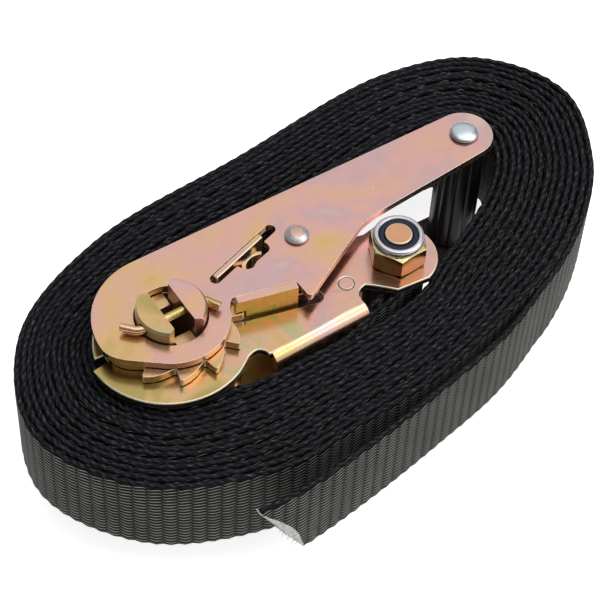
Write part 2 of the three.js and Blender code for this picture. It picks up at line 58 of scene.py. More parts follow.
# the webbing, mm
PLY = 1.66                 # thickness of one turn
HALF_WIDTH = 12.5
TURNS = 14
RIB = 3.4                  # distance from one cross rib to the next
YARN = 1.2                 # distance from one lengthwise yarn to the next
DASH = 2.3                 # length of one short ridge along an edge
SAMPLE = RIB / 4           # distance from one ring of the strip's mesh to the next
COIL_POINTS = [            # matching points on the coil's outer and inner outlines
    ((134, -5), (104.2, -2.2)), ((125, 19), (101.2, 4.8)), ((101, 31.6), (92, 8.2)),
    ((50, 35), (48, 9.3)), ((5, 36.3), (4, 11.6)), ((-28, 25), (-14, 9.5)),
    ((-44, -1), (-18, -2.5)), ((-33, -30), (-13, -14.5)), ((-4, -47.8), (4, -21.8)),
    ((16, -50.2), (15.5, -24.5)), ((40, -52.2), (41, -27.7)), ((62, -50.6), (57, -27.1)),
    ((72, -49.3), (66, -23.5)), ((88, -46.4), (78, -20.3)), ((106, -38.6), (90, -16.1)),
    ((122, -26.5), (100.8, -8.8)),
]
TAIL = [(-17.5, -51.0), (-6, -53.2), (14, -54.2), (40, -53.6), (62, -51.9)]
TAIL_JOIN_X = 82
TAIL_SLANT = 13.0          # how much further the cut runs along its lower edge
SLANT_FADE = 30.0          # where the ribs stand upright again
INNER_END = [(30, -27.9), (38, -27.3), (43, -26.3)]    # where the strip leaves the coil for the bolt
COIL_END_X = 20
PATH_STEPS = 5200          # points along the turns
END_STEPS = 30             # points along each span of the strip's two ends
LEAD = 25                  # points of the coil that set an end's direction
SLACK = 0.1                # room left at the coil's outer and inner faces
UNEVEN_WINDING = [(0.09, 3.37, 0.2), (0.06, 7.91, 0.0)]    # swing, waves in a turn, start of a wave
FIRST_TURN = 400.0         # length of strip in the tail and the outermost turn
WANDER = [(0.28, 61.0, 1.1), (0.22, 23.7, 0.0), (0.18, 143.0, 2.0)]    # swing up, wave, its start
SAG = 1.6                  # how far the outermost turn hangs at its right front
SAG_X = 92
SAG_WIDTH = 30
# the strip's cross-section: share of the half thickness, distance in from an edge, which edge, and
# the distance round the girth
SECTION = [
    (-1, 0.80, -1, -11.70), (-1, 12.5, -1, 0), (-1, 0.80, 1, 11.70),
    (-0.78, 0.22, 1, 12.35), (0, -0.04, 1, 13.15), (0.78, 0.22, 1, 13.95),
    (1, 0.80, 1, 14.60), (1, 12.5, 1, 26.30), (1, 0.80, -1, 38.00),
    (0.78, 0.22, -1, 38.65), (0, -0.04, -1, 39.45), (-0.78, 0.22, -1, 40.25),
]
HALF_GIRTH = 26.3
EDGE_INSET = 3             # points nearer to an edge than this sway with it
RIB_ON_FACE = 0.045        # how much a rib thickens the strip, as a share of its thickness
RIB_AT_EDGE = 0.05
EDGE_SWAY = 0.07
EDGE_SCALLOP = 0.2
AHEAD = 0.6                # how far before and after a point its direction is taken

# the bolt, the loop round it and the rivets, in the handle's own axes
BOLT = (57.4, -16.6)
SLEEVE_LOOP = 5.85 + PLY / 2
LOOP_ARC = (-100, 165, 12)    # degrees round the bolt: from, to, step
LOOP_TAB = (43.9, -23.7)   # where the loop's two plies meet
END_RIVET = (95.0, 0.0)
CROSS_RIVET = (39.2, 0.4)

rng = np.random.default_rng(SEED)
low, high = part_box("ratchet_wheel_upper")
lower_low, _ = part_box("ratchet_wheel_lower")
AXIS = Vector(((low.x + high.x) / 2, (low.y + high.y) / 2, (lower_low.z + high.z) / 2))


def row(x, y, z=0.0):
    """A point given in mm from the mandrel's middle, along the row's axes."""
    return AXIS + Vector((x, y, z)) * MM


def ratchet(x, y, z=0.0):
    """A point given in mm from the mandrel's middle, along the handle's axes."""
    c, s = math.cos(RATCHET_TURN), math.sin(RATCHET_TURN)
    return row(x * c - y * s, x * s + y * c, z)


# ------------------------------------------------------------------ camera
VIEW_TARGET = row(37.8, -5.05)
VIEW_FORWARD = Vector((0.4376, 0.4376, -0.7855)).normalized()
VIEW_DISTANCE = 0.5125
VIEW_ROLL = math.radians(3.42)
VIEW_LENS = 121.8
VIEW_SENSOR = 36

level = VIEW_FORWARD.cross(Vector((0, 0, 1))).normalized()
above = level.cross(VIEW_FORWARD)
right = level * math.cos(VIEW_ROLL) + above * math.sin(VIEW_ROLL)
up = right.cross(VIEW_FORWARD)
camera_data = bpy.data.cameras.new("camera")
camera_data.lens = VIEW_LENS
camera_data.sensor_width = VIEW_SENSOR
camera = bpy.data.objects.new("camera", camera_data)
bpy.context.scene.collection.objects.link(camera)
facing = Matrix((right, up, -VIEW_FORWARD)).transposed().to_4x4()
camera.matrix_world = Matrix.Translation(VIEW_TARGET - VIEW_FORWARD * VIEW_DISTANCE) @ facing
bpy.context.scene.camera = camera


# ------------------------------------------------------------------ node helpers
class Nodes:
    """Short names for making and linking a material's nodes."""

    def __init__(self, name):
        self.material = bpy.data.materials.new(name)
        self.material.use_nodes = True
        self.tree = self.material.node_tree
        self.shader = self.tree.nodes["Principled BSDF"]

    def add(self, kind, **settings):
        node = self.tree.nodes.new(kind)
        for key, value in settings.items():
            setattr(node, key, value)
        return node

    def link(self, source, target):
        self.tree.links.new(source, target)

    def feed(self, socket, value):
        if isinstance(value, bpy.types.NodeSocket):
            self.link(value, socket)
        else:
            socket.default_value = value

    def math(self, operation, a, b=0.0, c=0.0):
        node = self.add("ShaderNodeMath", operation=operation)
        for socket, value in zip(node.inputs, (a, b, c)):
            self.feed(socket, value)
        return node.outputs[0]

    def noise(self, scale, detail=3.0, roughness=0.55, vector=None, distortion=0.0):
        node = self.add("ShaderNodeTexNoise")
        node.inputs["Scale"].default_value = scale
        node.inputs["Detail"].default_value = detail
        node.inputs["Roughness"].default_value = roughness
        node.inputs["Distortion"].default_value = distortion
        self.link(vector or self.place(), node.inputs["Vector"])
        return node.outputs["Fac"]

    def place(self):
        return self.add("ShaderNodeTexCoord").outputs["Object"]

    def ramp(self, value, stops):
        node = self.add("ShaderNodeValToRGB")
        elements = node.color_ramp.elements
        while len(elements) < len(stops):
            elements.new(0.5)
        for element, (position, colour) in zip(elements, stops):
            element.position = position
            element.color = (*colour, 1)
        self.link(value, node.inputs[0])
        return node.outputs["Color"]

    def mix(self, factor, a, b):
        node = self.add("ShaderNodeMix", data_type="RGBA")
        self.feed(node.inputs[0], factor)
        self.feed(node.inputs[6], a if isinstance(a, bpy.types.NodeSocket) else (*a, 1))
        self.feed(node.inputs[7], b if isinstance(b, bpy.types.NodeSocket) else (*b, 1))
        return node.outputs[2]

    def bump(self, height, strength, distance):
        node = self.add("ShaderNodeBump")
        node.inputs["Strength"].default_value = strength
        node.inputs["Distance"].default_value = distance
        self.link(height, node.inputs["Height"])
        self.link(node.outputs[0], self.shader.inputs["Normal"])

    def set(self, **values):
        for key, value in values.items():
            self.feed(self.shader.inputs[key.replace("_", " ")], value)


# ------------------------------------------------------------------ materials
PALE = (0.76, 0.56, 0.46)
PINK = (0.74, 0.43, 0.38)
LILAC = (0.62, 0.42, 0.44)
PEACH = (0.74, 0.46, 0.30)
GOLD = (0.72, 0.47, 0.21)
OLIVE = (0.47, 0.37, 0.13)
BROWN = (0.46, 0.31, 0.14)
GREEN = (0.52, 0.50, 0.27)
SPECK = (0.9, 0.8, 0.72)
# a red for the painted reflection on the upright faces of the nut and bolt
REFLECTED_RED = (0.46, 0.16, 0.06)
DARK_OLIVE = (0.26, 0.18, 0.05)
MID_OLIVE = (0.30, 0.26, 0.10)
DEEP_GOLD = (0.45, 0.30, 0.12)
LIME = (0.50, 0.62, 0.14)
BRASS = (0.98, 0.74, 0.20)
AMBER = (1.0, 0.56, 0.20)
STRAW = (0.92, 0.74, 0.18)
MOSS = (0.46, 0.62, 0.16)

# the chromate's noises, by how many fit in a metre, and how far each one shows
GRAIN = 1100
SMEAR = 230
SMEAR_SWING = 0.18
SPECKS = 520
SPECK_LEVEL = 0.79
SPECK_SHARE = 0.22
SIDE_SPOTS = 420
SIDE_SPOT_SWING = 0.5
SIDE_WIDE_SWING = 0.55
LEVEL_RISE = 0.4           # a face whose normal rises by more than this is a level face
TARNISH_POWER = 2.5
GRAIN_ROUGHNESS = 0.12
FINISH_BUMP = 0.05
FINISH_DEPTH = 0.0002
ZINC_GRAIN = 800
ZINC_WIDE = 170
ZINC_SHADE = 0.62          # the darkest of the zinc's colour, as a share of its tint
ZINC_DEPTH = 0.0006


def chromate(name, stops, patch=34, rough=0.2, tarnish=0.2, drift=None, sides=None):
    """Yellow chromate on zinc: drifting pink, lilac, gold and green over finely rolled sheet.

    drift moves the colours along X, in shares of the stops from one X in metres to another: a painted
    reflection, darker and golder towards lower X.
    sides are the stops on faces that stand upright: painted light, those faces coloured apart from
    level ones for how the light falls and reflects on them."""
    n = Nodes(name)
    wide = n.noise(patch, detail=2, distortion=0.8)
    fine = n.noise(GRAIN, detail=4)
    smear = n.noise(SMEAR, detail=5, roughness=0.7)
    specks = n.math("GREATER_THAN", n.noise(SPECKS, detail=1), SPECK_LEVEL)
    value = n.math("MULTIPLY_ADD", smear, SMEAR_SWING, n.math("SUBTRACT", wide, SMEAR_SWING / 2))
    # painted reflection: the colours grow darker and golder towards lower X
    if drift:
        from_x, to_x, amount = drift
        split = n.add("ShaderNodeSeparateXYZ")
        n.link(n.place(), split.inputs[0])
        along = n.add("ShaderNodeMapRange")
        along.inputs["From Min"].default_value = from_x
        along.inputs["From Max"].default_value = to_x
        along.inputs["To Min"].default_value = -amount / 2
        along.inputs["To Max"].default_value = amount / 2
        n.link(split.outputs[0], along.inputs["Value"])
        value = n.math("ADD", value, along.outputs[0])
    colour = n.ramp(value, stops)
    # painted light: upright faces take the side stops, for how the light falls and reflects on them
    if sides:
        upright = n.add("ShaderNodeSeparateXYZ")
        n.link(n.add("ShaderNodeNewGeometry").outputs["True Normal"], upright.inputs[0])
        level = n.math("GREATER_THAN", n.math("ABSOLUTE", upright.outputs[2]), LEVEL_RISE)
        spots = n.noise(SIDE_SPOTS, detail=5, roughness=0.8)
        mottled = n.math("MULTIPLY", wide, SIDE_WIDE_SWING)
        mottled = n.math("MULTIPLY_ADD", spots, SIDE_SPOT_SWING, mottled)
        colour = n.mix(level, n.ramp(mottled, sides), colour)
    tarnished = n.math("MULTIPLY", n.math("POWER", smear, TARNISH_POWER), tarnish * 2)
    colour = n.mix(tarnished, colour, BROWN)
    colour = n.mix(n.math("MULTIPLY", specks, SPECK_SHARE), colour, SPECK)
    n.set(Base_Color=colour, Metallic=1.0)
    n.set(Roughness=n.math("MULTIPLY_ADD", fine, GRAIN_ROUGHNESS, rough))
    grain = n.math("ADD", n.math("MULTIPLY", fine, 0.4), n.math("MULTIPLY", smear, 0.6))
    n.bump(grain, FINISH_BUMP, FINISH_DEPTH)
    return n.material


def zinc(name, tint, rough, dents=0.12):
    """Bright zinc plate over pressed or drawn steel."""
    n = Nodes(name)
    fine = n.noise(ZINC_GRAIN, detail=4)
    wide = n.noise(ZINC_WIDE, detail=3)
    shade = tuple(ZINC_SHADE * part for part in tint)
    n.set(Base_Color=n.mix(wide, shade, tint), Metallic=1.0)
    n.set(Roughness=n.math("MULTIPLY_ADD", fine, 0.2, rough))
    n.bump(n.math("MULTIPLY_ADD", fine, 0.3, wide), dents, ZINC_DEPTH)
    return n.material


def plastic(name, colour, rough, grain, gloss):
    """Moulded plastic, finely grained, scuffed a little paler."""
    n = Nodes(name)
    fine = n.noise(grain, detail=3)
    scuffed = tuple(2.2 * part for part in colour)
    n.set(Base_Color=n.mix(n.math("MULTIPLY", fine, 0.3), colour, scuffed))
    n.set(Roughness=n.math("MULTIPLY_ADD", fine, 0.12, rough), Specular_IOR_Level=gloss)
    n.bump(fine, 0.08, FINISH_DEPTH)
    return n.material


# the webbing's colours and its pattern, in mm
EDGE_BAND = 1.3            # how far from an edge the edge's own pattern runs
FACE_GAP = (0.001, 0.001, 0.001)
# pale yarn dashes: weave pattern and painted sheen
FACE_YARN_SHEEN = (0.31, 0.305, 0.27)
EDGE_GAP = (0.0005, 0.0005, 0.001)
# bright edge streaks: painted glints on the yarn
EDGE_YARN_GLINT = (0.84, 0.85, 1.0)
EDGE_SLANT = 3.5           # radians that the edge's ridges turn in one mm round the girth
EDGE_WANDER = 9.0          # radians that they drift from patch to patch
STREAK_STRETCH = (0.5, 2.4, 1)


def woven(name):
    """Black webbing. Its map is in mm along the strip and round its girth."""
    n = Nodes(name)
    place = n.add("ShaderNodeUVMap", uv_map="webbing").outputs[0]
    split = n.add("ShaderNodeSeparateXYZ")
    n.link(place, split.inputs[0])
    along, girth = split.outputs[0], split.outputs[1]
    from_edge = n.math("PINGPONG", n.math("ADD", girth, HALF_GIRTH / 2), HALF_GIRTH / 2)
    edge = n.math("LESS_THAN", from_edge, EDGE_BAND)
    fibre = n.noise(1.1, detail=4, roughness=0.75, vector=place)
    patches = n.noise(0.09, detail=2, vector=place)
    # faces: a yarn shows as one dash in each rib, half a yarn to the side of those in the next rib;
    # the pale dashes are weave pattern and painted sheen on the yarn crests
    rib = n.math("SINE", n.math("MULTIPLY", along, math.pi / RIB))
    sag = n.math("MULTIPLY", n.math("ABSOLUTE", rib), YARN / 4)
    yarn = n.math("COSINE", n.math("MULTIPLY", n.math("ADD", girth, sag), 2 * math.pi / YARN))
    in_front = n.math("MAXIMUM", n.math("MULTIPLY", n.math("SIGN", rib), yarn), 0.0)
    flank = n.math("POWER", n.math("ABSOLUTE", rib), 0.5)
    dash = n.math("MULTIPLY", flank, n.math("POWER", in_front, 1.8))
    shade = n.math("MULTIPLY", dash, n.math("MULTIPLY_ADD", fibre, 1.4, 0.3))
    shade = n.math("MULTIPLY", shade, n.math("MULTIPLY_ADD", patches, 0.8, 0.6))
    on_face = n.mix(shade, FACE_GAP, FACE_YARN_SHEEN)
    # edges: broken streaks along the strip, crossed by faint slanting ridges; their bright streaks
    # are painted glints on the yarn
    stretched = n.add("ShaderNodeVectorMath", operation="MULTIPLY")
    n.link(place, stretched.inputs[0])
    stretched.inputs[1].default_value = STREAK_STRETCH
    streak = n.noise(1.0, detail=3, roughness=0.6, vector=stretched.outputs[0])
    slant = n.math("MULTIPLY", girth, EDGE_SLANT)
    twist = n.math("ADD", n.math("MULTIPLY", along, 2 * math.pi / DASH), slant)
    twist = n.math("MULTIPLY_ADD", patches, EDGE_WANDER, twist)
    ridge = n.math("MULTIPLY_ADD", n.math("SINE", twist), 0.5, 0.5)
    # painted shade: each edge grows darker towards its sides, into the gaps between turns
    shade_between_turns = n.math("MULTIPLY_ADD", from_edge, -0.75, 1.0)
    glint = n.math("MULTIPLY_ADD", ridge, 0.7, 0.3)
    glint = n.math("MULTIPLY", glint, n.math("POWER", streak, 5.0))
    glint = n.math("MULTIPLY", n.math("ADD", glint, 0.004), shade_between_turns)
    on_edge = n.mix(glint, EDGE_GAP, EDGE_YARN_GLINT)
    n.set(Base_Color=n.mix(edge, on_face, on_edge), Metallic=0.0, Roughness=0.6)
    n.set(Specular_IOR_Level=0.06)
    height = n.mix(edge, dash, n.math("MULTIPLY", streak, 0.7))
    n.bump(height, 0.8, 0.0004)
    return n.material


def cut_end(name, dark, pale):
    """Cut or loose fibres, coarse and matt."""
    n = Nodes(name)
    fine = n.noise(1500, detail=5, roughness=0.7)
    n.set(Base_Color=n.ramp(fine, [(0.3, dark), (0.62, pale)]))
    n.set(Roughness=0.8)
    n.bump(fine, 0.8, 0.0005)
    return n.material


plate_steel = chromate(
    "chromate_plate",
    [(0.18, OLIVE), (0.31, GOLD), (0.40, PEACH), (0.50, PINK), (0.62, LILAC), (0.74, PALE)],
    drift=(-0.065, 0.03, 0.26))
frame_steel = chromate(
    "chromate_frame",
    [(0.28, OLIVE), (0.38, GOLD), (0.43, PEACH), (0.47, GREEN), (0.51, PEACH), (0.60, PINK),
     (0.74, LILAC)],
    patch=46, rough=0.16, tarnish=0.3, drift=(-0.06, 0.02, 0.34))
wheel_steel = chromate(
    "chromate_wheel", [(0.34, OLIVE), (0.46, GOLD), (0.62, PEACH)],
    patch=60, rough=0.2, tarnish=0.4)
gold_bar = chromate(
    "chromate_gold_bar", [(0.36, OLIVE), (0.5, GOLD), (0.66, GREEN)],
    patch=60, rough=0.28, tarnish=0.6)
lilac_bar = chromate(
    "chromate_lilac_bar", [(0.34, PEACH), (0.44, PINK), (0.58, LILAC)], patch=60, rough=0.26)
# nut and bolt: upright faces painted darker and redder, as painted shade and reflection
nut_steel = chromate(
    "chromate_nut", [(0.34, GOLD), (0.5, GREEN), (0.66, GOLD)],
    patch=90, rough=0.12, tarnish=0.4,
    sides=[(0.40, REFLECTED_RED), (0.50, DARK_OLIVE), (0.60, MID_OLIVE), (0.70, DEEP_GOLD)])
# locking pawl: upright faces painted brighter yellow-green than level ones, as painted light
pawl_steel = chromate(
    "chromate_pawl", [(0.34, PEACH), (0.5, PINK), (0.68, PALE)],
    patch=120, rough=0.3, tarnish=0.2,
    sides=[(0.40, LIME), (0.48, BRASS), (0.55, AMBER), (0.63, STRAW), (0.72, MOSS)])
# pale rims on rounded edges: partly worn chromate, partly a painted highlight
worn_edge_and_highlight = zinc("worn_edge_and_highlight", (0.96, 0.86, 0.68), 0.36, dents=0.05)
bright_zinc = zinc("bright_zinc", (0.70, 0.77, 0.81), 0.22, dents=0.05)
rivet_zinc = zinc("rivet_zinc", (0.92, 0.93, 0.95), 0.34)
spring_wire = zinc("spring_wire", (0.50, 0.48, 0.45), 0.26)
copper_end = zinc("bolt_end_copper", (0.78, 0.43, 0.24), 0.4, dents=0.05)
rivet_top = zinc("rivet_top_pink", (0.78, 0.52, 0.46), 0.34, dents=0.05)
collar_zinc = zinc("collar_zinc", (0.74, 0.73, 0.80), 0.18, dents=0.05)
nylon = plastic("blue_nylon", (0.010, 0.011, 0.034), 0.4, 900, 0.3)
grip_black = plastic("grip_black", (0.006, 0.006, 0.006), 0.28, 500, 0.22)
webbing = woven("woven_webbing")
sealed = cut_end("sealed_cut", (0.22, 0.22, 0.21), (0.62, 0.62, 0.59))
webbing_thread = cut_end("loose_thread", (0.03, 0.03, 0.03), (0.10, 0.10, 0.10))


# ------------------------------------------------------------------ mesh helpers
SHORTEST_EDGE = 0.02       # mm, below which two corners are one
ROOM = 0.25                # mm, the shortest edge that can meet a rounded one
SHARP_ANGLE = 32           # degrees between two faces, from which their edge is sharp
RIM_ANGLE = 60             # degrees, from which the edge of a level face is its outline
LEVEL_NORMAL = 0.99        # the least rise of a level face's normal
MERGE = 0.000005           # metres, for the seam and the axis of a turned shape


def new_object(name, mesh, material):
    """A piece in the scene, its mesh in one material."""
    piece = bpy.data.objects.new(name, mesh)
    bpy.context.scene.collection.objects.link(piece)
    mesh.materials.clear()
    mesh.materials.append(material)
    return piece


def mesh_from(name, points, faces):
    """A smooth-shaded mesh from its points, in metres, and its faces."""
    mesh = bpy.data.meshes.new(name)
    mesh.from_pydata([tuple(p) for p in points], [], faces)
    mesh.validate()
    mesh.polygons.foreach_set("use_smooth", [True] * len(mesh.polygons))
    return mesh


def settle(piece, body, nodes=()):
    """Rides a piece on a body, and hides the nodes that it stands for."""
    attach(piece, body)
    if nodes:
        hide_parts(*nodes)
    return piece


def round_edges(piece, width, segments=2, angle=SHARP_ANGLE, edge=None):
    """Rounds a piece's sharp edges by a width in mm, the rounded strips in edge's material."""
    bevel = piece.modifiers.new("rounded_edges", "BEVEL")
    bevel.width = width * MM
    bevel.segments = segments
    bevel.limit_method = "ANGLE"
    bevel.angle_limit = math.radians(angle)
    bevel.use_clamp_overlap = True
    bevel.miter_outer = "MITER_ARC"
    if edge:
        piece.data.materials.append(edge)
        bevel.material = len(piece.data.materials) - 1
    normals = piece.modifiers.new("flat_faces", "WEIGHTED_NORMAL")
    normals.keep_sharp = True
    normals.weight = 60


def add_accent(mesh, material, belongs):
    """A second material, on the faces that belong to it."""
    mesh.materials.append(material)
    for face in mesh.polygons:
        face.material_index = int(belongs(face))


def finished(node, material, body, width=0.3, segments=2, accent=None, grow=0.0,
             picked=False):
    """A copy of a CAD node with its flat faces whole and its edges rounded.

    accent is a second material and a test of a face's middle that says where it goes.
    grow widens an upright pin, in mm, to a press fit in its hole.
    picked rounds only the outlines of level faces, where there is room for it."""
    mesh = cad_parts[node].data.copy()
    for attribute in [a for a in mesh.attributes if a.name == "custom_normal"]:
        mesh.attributes.remove(attribute)
    shape = bmesh.new()
    shape.from_mesh(mesh)
    bmesh.ops.remove_doubles(shape, verts=shape.verts, dist=SHORTEST_EDGE * MM)
    bmesh.ops.dissolve_limit(shape, angle_limit=math.radians(1), verts=shape.verts, edges=shape.edges)
    if grow:
        low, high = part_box(node)
        for vertex in shape.verts:
            aside = (vertex.co - (low + high) / 2) * Vector((1, 1, 0))
            vertex.co += aside.normalized() * grow * MM
    if picked:
        weight = shape.edges.layers.float.new("bevel_weight_edge")
        for edge in shape.edges:
            around = [near for end in edge.verts for near in end.link_edges]
            tight = any(near.calc_length() < ROOM * MM for near in around)
            level = any(abs(face.normal.z) > LEVEL_NORMAL for face in edge.link_faces)
            angle = edge.calc_face_angle(0)
            edge[weight] = float(level and not tight and angle > math.radians(RIM_ANGLE))
            edge.smooth = edge[weight] > 0 or angle < math.radians(SHARP_ANGLE)
    shape.to_mesh(mesh)
    shape.free()
    mesh.polygons.foreach_set("use_smooth", [True] * len(mesh.polygons))
    piece = new_object(node + "_steel", mesh, material)
    if accent:
        add_accent(mesh, *accent)
    # chromate pieces get pale rims on their rounded strips: worn chromate and a painted highlight
    chromated = material.name.startswith("chromate")
    round_edges(piece, width, segments, edge=worn_edge_and_highlight if chromated else None)
    if picked:
        piece.modifiers["rounded_edges"].limit_method = "WEIGHT"
        piece.modifiers["rounded_edges"].use_clamp_overlap = False
    return settle(piece, body, [node])


def cleaned(mesh):
    """Outward normals and smooth shading."""
    shape = bmesh.new()
    shape.from_mesh(mesh)
    bmesh.ops.recalc_face_normals(shape, faces=shape.faces)
    shape.to_mesh(mesh)
    shape.free()
    mesh.polygons.foreach_set("use_smooth", [True] * len(mesh.polygons))
    return mesh


def bar_faces(rings, around):
    """The faces of a closed bar: one ring of points after another, and a cap at each end."""
    faces = []
    for ring in range(rings - 1):
        for k in range(around):
            a, b = ring * around + k, ring * around + (k + 1) % around
            faces.append((a, b, b + around, a + around))
    faces.append(tuple(range(around))[::-1])
    faces.append(tuple((rings - 1) * around + k for k in range(around)))
    return faces


def turned_faces(sides, count, close=True):
    """The faces between the copies of a profile that is turned all the way round."""
    faces = []
    for side in range(sides):
        here, after = side * count, (side + 1) % sides * count
        for k in range(count if close else count - 1):
            k2 = (k + 1) % count
            faces.append((here + k, after + k, after + k2, here + k2))
    return faces


def directions(path):
    """The direction of a path at each of its points."""
    tangent = np.gradient(path, axis=0)
    return tangent / np.linalg.norm(tangent, axis=1)[:, None]


def lathe(name, profile, centre, sides=96, close=False):
    """Turns (radius, height) pairs, in mm, about an upright axis through a point."""
    points = []
    for side in range(sides):
        angle = 2 * math.pi * side / sides
        for radius, height in profile:
            spot = Vector((radius * math.cos(angle), radius * math.sin(angle), height))
            points.append(centre + spot * MM)
    mesh = mesh_from(name, points, turned_faces(sides, len(profile), close))
    shape = bmesh.new()
    shape.from_mesh(mesh)
    bmesh.ops.remove_doubles(shape, verts=shape.verts, dist=MERGE)
    shape.to_mesh(mesh)
    shape.free()
    return cleaned(mesh)


def catmull(points, closed=False, per_span=24):
    """A centripetal Catmull-Rom curve through the points."""
    p = np.array(points, float)
    count = len(p)
    spans = count if closed else count - 1
    out = []
    for i in range(spans):
        if closed:
            a, b, c, d = (p[(i + k - 1) % count] for k in range(4))
        else:
            b, c = p[i], p[i + 1]
            a = p[i - 1] if i > 0 else 2 * b - c
            d = p[i + 2] if i + 2 < count else 2 * c - b
        t0, t1 = 0.0, math.sqrt(np.linalg.norm(b - a))
        t2 = t1 + math.sqrt(np.linalg.norm(c - b))
        t3 = t2 + math.sqrt(np.linalg.norm(d - c))
        t = np.linspace(t1, t2, per_span, endpoint=False)[:, None]
        a1 = (t1 - t) / (t1 - t0) * a + (t - t0) / (t1 - t0) * b
        a2 = (t2 - t) / (t2 - t1) * b + (t - t1) / (t2 - t1) * c
        a3 = (t3 - t) / (t3 - t2) * c + (t - t2) / (t3 - t2) * d
        b1 = (t2 - t) / (t2 - t0) * a1 + (t - t0) / (t2 - t0) * a2
        b2 = (t3 - t) / (t3 - t1) * a2 + (t - t1) / (t3 - t1) * a3
        out.append((t2 - t) / (t2 - t1) * b1 + (t - t1) / (t2 - t1) * b2)
    if not closed:
        out.append(p[-1:])
    return np.concatenate(out)


def lengths_along(path):
    """The distance from a path's start to each of its points."""
    return np.concatenate([[0], np.cumsum(np.linalg.norm(np.diff(path, axis=0), axis=1))])


def at_lengths(path, where):
    """The path's points at those distances from its start, carried on straight past its ends."""
    along = lengths_along(path)
    inside = np.clip(where, 0, along[-1])
    points = np.stack([np.interp(inside, along, path[:, k]) for k in range(path.shape[1])], axis=-1)
    start = path[1] - path[0]
    end = path[-1] - path[-2]
    before = np.minimum(where, 0)[..., None] * start / np.linalg.norm(start)
    after = np.maximum(where - along[-1], 0)[..., None] * end / np.linalg.norm(end)
    return points + before + after


def sweep(name, path, section):
    """A closed bar whose section, as (aside, up) in mm, follows a level path of (x, y, z) in mm."""
    path = np.asarray(path, float)
    points = []
    for spot, along in zip(path, directions(path)):
        for aside, upward in section:
            x, y = spot[0] - along[1] * aside, spot[1] + along[0] * aside
            points.append(AXIS + Vector((x, y, spot[2] + upward)) * MM)
    return cleaned(mesh_from(name, points, bar_faces(len(path), len(section))))


def tube(name, path, radius, sides=8):
    """A round wire along a path of (x, y, z) in mm."""
    path = np.asarray(path, float)
    tangent = directions(path)
    side = np.cross(tangent[0], (0.31, 0.17, 0.93))
    points = []
    for spot, along in zip(path, tangent):
        side = side - along * np.dot(side, along)
        side = side / np.linalg.norm(side)
        other = np.cross(along, side)
        for k in range(sides):
            angle = 2 * math.pi * k / sides
            outward = side * math.cos(angle) + other * math.sin(angle)
            points.append(AXIS + Vector(spot + radius * outward) * MM)
    return cleaned(mesh_from(name, points, bar_faces(len(path), sides)))


# ------------------------------------------------------------------ webbing
def coil_path():
    """The strip's centreline in mm from its cut tip, round every turn, to the sewn loop."""
    outer, inner = (catmull(line, closed=True, per_span=40) for line in zip(*COIL_POINTS))
    outer, inner = (np.concatenate([line, line[:1]]) for line in (outer, inner))
    samples = len(outer) - 1

    def share_at(line, x):
        front = np.where(line[:-1, 1] < -20)[0]
        return front[np.argmin(np.abs(line[front, 0] - x))] / samples

    start, end = share_at(outer, TAIL_JOIN_X), share_at(inner, COIL_END_X)
    turns = TURNS - (start - end)
    t = np.linspace(0, turns, PATH_STEPS)
    place = (start + t) % 1 * samples
    index = np.arange(samples + 1)
    on_outer, on_inner = (
        np.stack([np.interp(place, index, line[:, k]) for k in (0, 1)], 1)
        for line in (outer, inner))
    band = np.linalg.norm(on_inner - on_outer, axis=1)
    depth = PLY / 2 + SLACK + t / turns * (band - PLY - 2 * SLACK)
    for swing, waves, start_at in UNEVEN_WINDING:
        depth += swing * np.sin(2 * math.pi * (t * waves + start_at))
    spiral = on_outer + (on_inner - on_outer) * (depth / band)[:, None]
    tail = catmull(TAIL + [tuple(spiral[0]), tuple(spiral[LEAD])], per_span=END_STEPS)
    tail = tail[: END_STEPS * len(TAIL)]
    leaving = [tuple(spiral[-LEAD]), tuple(spiral[-1])] + INNER_END
    inner_end = catmull(leaving, per_span=END_STEPS)[END_STEPS + 1:]
    return np.concatenate([tail, spiral, inner_end])


